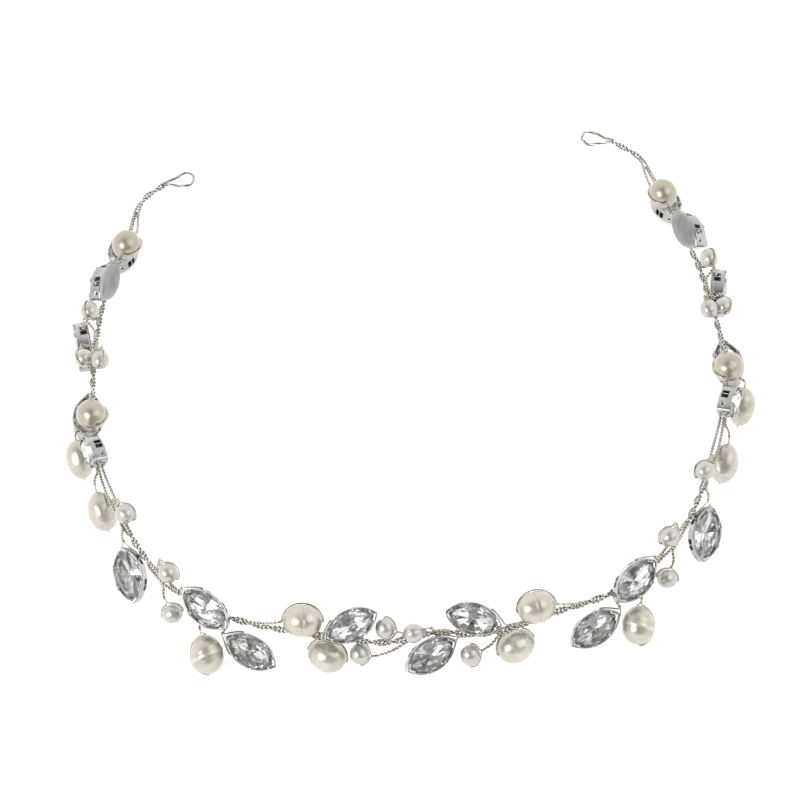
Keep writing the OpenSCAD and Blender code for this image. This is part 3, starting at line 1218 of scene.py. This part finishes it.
@dataclass
class Setting:
    """Silver setting of a navette: domed back, windowed wall, claws and folded tips.

    Each pair is a ring's height and its inset. The back's heights are from the underside,
    the rim's from the middle and the claws' from the top. The edging is how far rings stand
    below, inside and above the windows. Columns and spans are shares of the half length.
    """

    outline: Lens = Lens(6.6, 3.6)
    height: float = 3.9
    wall: float = 0.44
    gap: float = 0.1
    window_x: float = 3.0
    window_length: float = 2.3
    window_height: float = 1.6
    window_rise: float = 0.8
    columns: tuple[float, ...] = (
        1.0, 0.955, 0.89, 0.83, 0.73, 0.629, 0.56, 0.485, 0.445, 0.36, 0.28, 0.14, 0.0,
        -0.14, -0.28, -0.36, -0.445, -0.485, -0.56, -0.629, -0.73, -0.83, -0.89, -0.955, -1.0,
    )
    back: tuple[tuple[float, float], ...] = (
        (0.0, 2.4), (0.03, 1.6), (0.12, 0.8), (0.3, 0.25), (0.55, 0.02))
    rim: tuple[tuple[float, float], ...] = ((1.35, 0.0), (1.62, 0.02))
    claw: tuple[tuple[float, float], ...] = (
        (-0.2, 0.0), (0.04, 0.04), (0.16, 0.2), (0.12, 0.5), (-0.05, 0.8), (-0.25, 1.0))
    edging: tuple[float, float, float] = (0.06, 0.16, 0.07)
    claw_span: tuple[float, float] = (0.27, 0.45)
    bar_span: tuple[float, float] = (0.445, 0.485)
    hole_span: tuple[float, float] = (0.83, 0.89)
    hole_rise: tuple[float, float] = (0.55, 1.05)
    tip_span: float = 0.85
    # Share of painted shade at the very underside of the back
    back_painted_shade: float = 0.5

    @property
    def window_low(self) -> float:
        """Height of the windows' lower edge above the middle of the wall."""
        return self.window_rise - self.height / 2

    def rings(self) -> list[tuple[float, float]]:
        """Lists the shell's rings.

        Returns:
            Their heights and insets, from the back up to the rim.
        """
        low, high = self.window_low, self.window_low + self.window_height
        below, inside, above = self.edging
        wall = (low - below, low, low + inside, *(low + rise for rise in self.hole_rise),
                high - inside, high, high + above)
        return [*((rise - self.height / 2, inset) for rise, inset in self.back),
                *((height, 0.0) for height in wall), *self.rim]

    def spot(self, column: int, height: float, inset: float) -> Vector:
        """Place of one column of the shell.

        Args:
            column: number of the column, round from the +X tip.
            height: height of the ring.
            inset: how far the ring lies inside the outer wall.

        Returns:
            The place.
        """
        count = len(self.columns)
        upper = column < count
        share = self.columns[column] if upper else self.columns[2 * count - 2 - column]
        return Vector((*self.outline.corner(share, upper, inset), height))

    def is_clawed(self, edge: bmesh.types.BMEdge) -> bool:
        """Whether a claw rises from an edge of the rim, at a side or at a tip."""
        share = abs(sum(v.co.x for v in edge.verts)) / 2 / self.outline.half_length
        return self.claw_span[0] < share < self.claw_span[1] or share > self.tip_span

    def is_open(self, middle: Vector) -> bool:
        """Whether the wall is pierced there.

        Each side has two windows, parted by a bar, and a small hole near each tip.

        Args:
            middle: middle of a face of the wall.

        Returns:
            True where a window or a hole is.
        """
        share, rise = abs(middle.x) / self.outline.half_length, middle.z - self.window_low
        if self.hole_span[0] < share < self.hole_span[1]:
            return self.hole_rise[0] < rise < self.hole_rise[1]
        half = self.window_length / 2
        return (self.window_x - half < abs(middle.x) < self.window_x + half
                and not self.bar_span[0] < share < self.bar_span[1]
                and 0 < rise < self.window_height)

    def mesh(self) -> Mesh:
        """Models the shell.

        Returns:
            The mesh in its own space, without the wall's thickness.
        """
        bm = bmesh.new()
        first, *others = self.rings()
        edges = first_ring(bm, 2 * len(self.columns) - 2, True, self.spot, *first)
        for ring in others:
            edges = raise_ring(bm, edges, self.spot, *ring)
        claws = [e for e in edges if self.is_clawed(e)]
        for rise, inset in self.claw:
            claws = raise_ring(bm, claws, self.spot, self.height / 2 + rise, inset)
        # Painted shade: the domed back darkens toward the underside, and the claws' folded tips
        # take the full shade colour
        painted_shade = bm.verts.layers.float.new("painted_shade")
        for vert in bm.verts:
            rise = (vert.co.z + self.height / 2) / self.back[-1][0]
            vert[painted_shade] = self.back_painted_shade * max(1 - rise, 0)
        for vert in {v for e in claws for v in e.verts}:
            vert[painted_shade] = 1.0
        opened = [f for f in bm.faces if self.is_open(f.calc_center_median())]
        bmesh.ops.delete(bm, geom=opened, context="FACES")
        bmesh.ops.recalc_face_normals(bm, faces=bm.faces)
        if sum(f.normal.z * f.calc_area() for f in bm.faces if f.calc_center_median().z < 0) > 0:
            bmesh.ops.reverse_faces(bm, faces=bm.faces)
        return bm

    def build(self, word: str, seat: Seat, metal: Finish) -> None:
        """Makes one setting.

        Args:
            word: the end of its node's name.
            seat: its place.
            metal: its finish.
        """
        piece = place_mesh(f"silver_setting_{word}", self.mesh(), seat.matrix())
        solid = piece.modifiers.new("wall", "SOLIDIFY")
        solid.thickness, solid.offset = self.wall * MM, -1.0
        soft = piece.modifiers.new("soften", "SUBSURF")
        soft.levels = soft.render_levels = 1
        hand_over(piece, "claw_setting", [f"setting_{word}"], metal)


@dataclass
class Stone:
    """Clear navette stone: glass crown over a foiled pavilion.

    Each ring below and above the girdle has its share of the pavilion's depth or of the
    crown's height, its size as a share of the girdle's, and how far it is turned, in steps
    between two corners. The painted lights say how light or dark each of the foil's facets is
    painted, in turn, as painted reflections.
    """

    outline: Lens = Lens(6.0, 3.1)
    crown: float = 1.1
    girdle: float = 0.3
    pavilion: float = 2.3
    girdle_z: float = 0.85
    corners: int = 16
    lower: tuple[tuple[float, float, float], ...] = ((0.3, 0.74, 0.5), (1.0, 0.0, 0.5))
    upper: tuple[tuple[float, float, float], ...] = (
        (0.0, 1.0, 0.0), (0.62, 0.8, 0.5), (1.0, 0.56, 0.0))
    # Painted facet light and shade, from 0 for dark to 1 for light
    painted_lights: tuple[float, ...] = (
        1.0, 0.55, 0.9, 0.15, 0.95, 0.5, 1.0, 0.7, 0.3, 1.0, 0.6, 0.95, 0.1, 0.85, 0.45, 1.0,
        0.75,
    )

    def spot(self, corner: int, height: float, scale: float, ahead: float) -> Vector:
        """Place of a corner of a ring.

        Args:
            corner: number of the corner, round from the +X tip.
            height: height of the ring.
            scale: its size as a share of the girdle's.
            ahead: how far it is turned, in steps between two corners.

        Returns:
            The place.
        """
        turn = math.tau * (corner + ahead) / self.corners
        x, y = self.outline.corner(math.cos(turn), math.sin(turn) >= 0, 0)
        return Vector((x * scale, y * scale, height))

    def turn(self, face: bmesh.types.BMFace) -> float:
        """Angle of a face round the stone, as if it were a circle."""
        middle = face.calc_center_median()
        return math.atan2(middle.y / self.outline.half_width,
                          middle.x / self.outline.half_length)

    def mesh(self, start: int) -> Mesh:
        """Models the stone.

        Args:
            start: number of the foil's first painted light, so that the stones' painted
                reflections differ.

        Returns:
            The mesh in its own space, with the foil's faces in the second material.
        """
        bm = bmesh.new()
        tone = bm.faces.layers.float.new("tone")
        girdle = first_ring(bm, self.corners, False, self.spot, self.girdle_z, 1.0, 0.0)
        edges = girdle
        for share, *form in self.lower:
            edges = raise_ring(bm, edges, self.spot, self.girdle_z - self.pavilion * share, *form)
        foiled = set(bm.faces)
        edges, top = girdle, self.girdle_z + self.girdle
        for share, *form in self.upper:
            edges = raise_ring(bm, edges, self.spot, top + self.crown * share, *form)
        bmesh.ops.contextual_create(bm, geom=edges)
        bmesh.ops.remove_doubles(bm, verts=bm.verts, dist=WELD)
        for face in foiled:
            face.material_index = 1
        bmesh.ops.triangulate(bm, faces=[f for f in bm.faces if len(f.verts) == 4])
        # Painted reflections: the foiled facets are painted lighter or darker in turn round the
        # stone
        backed = sorted((f for f in bm.faces if f.material_index == 1), key=self.turn)
        for i, face in enumerate(backed, start):
            face[tone] = self.painted_lights[i % len(self.painted_lights)]
        bmesh.ops.recalc_face_normals(bm, faces=bm.faces)
        return bm

    def build(self, word: str, seat: Seat, start: int, glass: Finish, foil: Finish) -> None:
        """Makes one stone.

        Args:
            word: the end of its node's name.
            seat: its place.
            start: number of the foil's first painted light.
            glass: finish of the crown.
            foil: finish of the pavilion.
        """
        piece = place_mesh(f"glass_stone_{word}", self.mesh(start), seat.matrix(), smooth=False)
        hand_over(piece, "clear_stone", [f"stone_{word}"], glass, foil)


@dataclass
class Stems:
    """Twisted stems of one side, each a folded wire that holds its element.

    A lead is where a stem lies along the trunk before it leaves it: its share of the
    lead's length, and its share of the full distance from the trunk's middle. The neck
    stands off a setting's tip by tip_gaps of the setting's gap, and close is how far the
    wire keeps from its wall at the windows, as a share of the wire. The sizes are the
    lengths and widths that the wire is bent round.
    """

    seats: list[Seat]
    side: Side
    setting: Setting
    trunk_width: float = 1.3
    stem_width: float = 0.74
    wire: float = 0.38
    slack: float = 0.56
    pitch: float = 1.8
    step: float = 0.16
    bare_steps: float = 1.6
    joined: int = 2
    smoothing: int = 8
    rounding: int = 3
    lead: float = 4.0
    leads: tuple[tuple[float, float], ...] = ((1.0, 0.35), (0.6, 0.7), (0.3, 0.9))
    hug_gap: float = 0.06
    hug_step: float = 12.0
    neck: float = 1.22
    tip_gaps: int = 5
    close: float = 0.8
    bow: float = 0.08
    sizes: dict[Kind, tuple[float, float]] = field(default_factory=lambda: {
        ROUND: (7.6, 7.1), LONG: (9.4, 6.7), FRONT: (8.8, 7.4), BEAD: (4.8, 4.4)})

    def round_pearl(self, kind: Kind, fork: float) -> list[Vector]:
        """Wire from the neck round a pearl, through its bore and back to the neck.

        Args:
            kind: the pearl's kind.
            fork: angle of the neck from the bore.

        Returns:
            The wire's corners in the pearl's own space.
        """
        length, width = self.sizes[kind]
        out = self.wire / 2 + self.hug_gap

        def beside(angle: float, away: float) -> Vector:
            """Point round the pearl, that far from it."""
            a = math.radians(angle)
            return Vector(((length / 2 + away) * math.cos(a), (width / 2 + away) * math.sin(a),
                           0))

        there = max(math.ceil((180 - fork) / self.hug_step), 1)
        back = max(math.floor(fork / self.hug_step), 1)
        apart = math.degrees(math.asin((self.stem_width + self.wire) / 2
                                       / (width / 2 + out + self.neck)))
        inside = length / 2 - self.wire
        return [
            beside(fork, out + self.neck),
            beside(fork, out + self.neck / 2),
            *(beside(fork + (180 - fork) * i / there, out) for i in range(there + 1)),
            Vector((-inside, 0, 0)),
            Vector((inside, 0, 0)),
            *(beside((fork - apart) * i / back, out) for i in range(back + 1)),
            beside(fork - apart / 2, out + self.neck / 2),
            beside(fork, out + self.neck),
        ]

    def round_navette(self) -> list[Vector]:
        """Wire from the neck through the setting's windows and back to the neck.

        Returns:
            The wire's corners in the setting's own space.
        """
        setting, outline = self.setting, self.setting.outline
        z = setting.window_low + self.wire
        tip = outline.half_length + self.stem_width / 2 + self.tip_gaps * setting.gap
        neck, narrow = Vector((-tip, 0, z)), self.wire * self.close
        far = (setting.window_x + outline.half_length) / 2
        half = []
        for x, away in ((far, self.wire), (setting.window_x, narrow)):
            half.append((-x, outline.corner(x / outline.half_length, True, 0)[1] + away))
        return [
            neck,
            neck + Vector((self.wire, narrow, 0)),
            *(Vector((x, y, z)) for x, y in half),
            *(Vector((x, -y, z)) for x, y in reversed(half)),
            neck + Vector((self.wire, -narrow, 0)),
            neck,
        ]

    def folded(self, seat: Seat) -> Wire:
        """Folds the wire of one stem.

        Args:
            seat: the element that the stem carries.

        Returns:
            The wire, from the trunk to the element and back.
        """
        element, route = seat.element, seat.route
        if element.kind is NAVETTE:
            corners = self.round_navette()
        else:
            corners = self.round_pearl(element.kind, element.fork)
        matrix = seat.matrix()
        single = even_path(rounded_path([matrix @ p for p in corners], self.rounding),
                           self.step * self.bare_steps)
        neck, foot = single[0], route.point(seat.root_share)
        way = route.way(seat.root_share)
        across = neck - foot
        across = (across - across.dot(way) * way).normalized()
        beside = (self.trunk_width + self.stem_width) / 2
        back = self.lead / route.length * seat.side.value * (1 if element.root > 0 else -1)
        leads = [
            route.point(seat.root_share - back * share) + across * beside * away
            for share, away in self.leads
        ]
        root = foot + across * beside
        bow = 0.0 if element.kind is FRONT else self.bow
        middle = (root + neck) / 2 + across * (neck - root).length * bow
        stem = even_path(smooth_path([*leads, root, middle, neck], self.smoothing), self.step)
        there, again = (
            wound_path(stem, self.pitch, self.wire * self.slack, phase)[:-self.joined]
            for phase in (0, math.pi)
        )
        bare, core = single[self.joined:-self.joined], stem[:-self.joined]
        return Wire([*there, *bare, *reversed(again)], [*core, *bare, *reversed(core)])

    def build(self, metal: Finish) -> None:
        """Makes the side's stems in their finish."""
        stems = wires(f"stem_wires_{self.side.word}", [self.folded(s) for s in self.seats],
                      self.wire)
        hand_over(stems, "stem_wire", [f"stems_{self.side.word}"], metal)


# Studio and the whole vine


@dataclass(frozen=True)
class Softbox:
    """Round lamp that faces the vine, with its power in watts and its lengths in metres.

    Its azimuth runs from -Y toward +X.
    """

    name: str
    azimuth: float
    elevation: float
    far: float
    size: float
    power: float

    def hang(self) -> None:
        """Hangs the lamp."""
        light = bpy.data.lights.new(self.name, "AREA")
        light.shape, light.size, light.energy = "DISK", self.size, self.power
        lamp = linked(self.name, light)
        a, e = math.radians(self.azimuth), math.radians(self.elevation)
        away = Vector((math.sin(a) * math.cos(e), -math.cos(a) * math.cos(e), math.sin(e)))
        lamp.location = away * self.far
        lamp.rotation_mode = "QUATERNION"
        lamp.rotation_quaternion = away.to_track_quat("Z", "Y")


@dataclass
class Studio:
    """Pale floor, soft lights and the camera.

    The tent's stops are places from its far side, at 0, to its opening, at 1, and their
    brightness.
    """

    aim: tuple[float, float, float] = (-2.28, -7.4, 8.0)
    distance: float = 790.0
    elevation: float = 45.0
    lens: float = 150.0
    sensor: float = 36.0
    clip: tuple[float, float] = (0.05, 20.0)
    floor_half: float = 6000.0
    floor_grey: float = 0.8
    floor_roughness: float = 0.9
    floor_glow: float = 0.45
    tent_strength: float = 1.35
    tent: tuple[tuple[float, float], ...] = (
        (0.0, 1.0), (1.0, 0.2), (0.6, 1.0), (0.74, 0.85), (0.84, 0.5), (0.93, 0.24),
    )
    softboxes: tuple[Softbox, ...] = (
        Softbox("softbox_left", azimuth=-42, elevation=30, far=1.6, size=1.15, power=12),
        Softbox("softbox_right", azimuth=60, elevation=50, far=1.6, size=1.4, power=6),
    )

    @property
    def toward_camera(self) -> Vector:
        """Direction from the vine to the camera."""
        tilt = math.radians(self.elevation)
        return Vector((0, -math.cos(tilt), math.sin(tilt)))

    def camera(self) -> None:
        """Puts the camera where the photograph was taken from."""
        made = bpy.data.cameras.new("camera")
        made.lens, made.sensor_width = self.lens, self.sensor
        made.clip_start, made.clip_end = self.clip
        eye = linked("camera", made)
        eye.location = (Vector(self.aim) + self.toward_camera * self.distance) * MM
        eye.rotation_euler = (math.pi / 2 - math.radians(self.elevation), 0, 0)
        bpy.context.scene.camera = eye

    def floor(self) -> None:
        """Lays the floor."""
        bm = bmesh.new()
        bmesh.ops.create_grid(bm, x_segments=2, y_segments=2, size=self.floor_half)
        made = place_mesh("floor", bm, Matrix.Identity(4))
        shader = Shader(bpy.data.materials.new("pale_floor"))
        shader.dress(Roughness=self.floor_roughness, Base_Color=(*[self.floor_grey] * 3, 1),
                     Emission_Color=(1, 1, 1, 1), Emission_Strength=self.floor_glow)
        made.data.materials.append(shader.owner)

    def sky(self) -> None:
        """Surrounds the vine with a pale tent that is dark at its opening."""
        sky = Shader(bpy.data.worlds.new("tent"), "Background")
        place = sky.node("ShaderNodeTexCoord").outputs["Generated"]
        facing = sky.node("ShaderNodeVectorMath", {0: place, 1: self.toward_camera},
                          operation="DOT_PRODUCT").outputs["Value"]
        opening = sky.node("ShaderNodeMapRange", {"From Min": -1.0, "Value": facing})
        greys = ((at, (light,) * 3) for at, light in self.tent)
        sky.dress(Strength=self.tent_strength,
                  Color=sky.ramp(opening.outputs["Result"], greys))
        bpy.context.scene.world = sky.owner

    def build(self) -> None:
        """Sets up the whole studio."""
        self.floor()
        self.sky()
        for softbox in self.softboxes:
            softbox.hang()
        self.camera()
        bpy.context.scene.view_settings.view_transform = "Standard"


@dataclass
class HairVine:
    """The whole vine, with what its pieces share."""

    route: Route = field(default_factory=Route)
    setting: Setting = field(default_factory=Setting)
    stone: Stone = field(default_factory=Stone)
    # Steps between the stones' first painted facet lights
    painted_lights_apart: int = 3

    def seated(self, rows: Iterable[Element], side: Side) -> list[Seat]:
        """Elements in their places, counted from that side's end."""
        return [Seat(element, side, self.route) for element in rows]

    def seats(self, side: Side) -> list[Seat]:
        """Seats of one side and of the front centre's elements that go with it."""
        middle = (CENTRE_ELEMENTS[:CENTRE_ON_LEFT] if side is Side.LEFT
                  else CENTRE_ELEMENTS[CENTRE_ON_LEFT:])
        return self.seated(SIDE_ELEMENTS, side) + self.seated(middle, Side.LEFT)

    def navettes(self) -> list[tuple[str, Seat]]:
        """Seats of all the navettes.

        Returns:
            The seats, each with the end of its node's name.
        """
        groups = [(side.word, self.seated(SIDE_ELEMENTS, side)) for side in Side]
        groups.append(("centre", self.seated(CENTRE_ELEMENTS, Side.LEFT)))
        return [
            (f"{word}_{i}", seat) for word, seats in groups
            for i, seat in enumerate((s for s in seats if s.element.kind is NAVETTE), 1)
        ]

    def build(self) -> None:
        """Makes every piece of the vine."""
        rope, drawn = TRUNK_SILVER.make(), STEM_SILVER.make()
        polished = SETTING_SILVER.make()
        nacres = IVORY_NACRE.make(), CREAM_NACRE.make(), WHITE_NACRE.make()
        glass, foil = CLEAR_GLASS.make(), MIRROR_FOIL.make()
        Trunk(self.route).build(rope)
        for side in Side:
            EndLoop(self.route, side).build(rope)
            seats = self.seats(side)
            Stems(seats, side, self.setting).build(drawn)
            Pearls(seats, side).build(*nacres)
        for i, (word, seat) in enumerate(self.navettes()):
            self.setting.build(word, seat, polished)
            self.stone.build(word, seat, self.painted_lights_apart * i, glass, foil)


def main() -> None:
    """Builds the studio and the vine."""
    logging.basicConfig(level=logging.INFO, format="%(message)s")
    Studio().build()
    HairVine().build()
    bpy.context.view_layer.update()


if __name__ == "__main__":
    main()
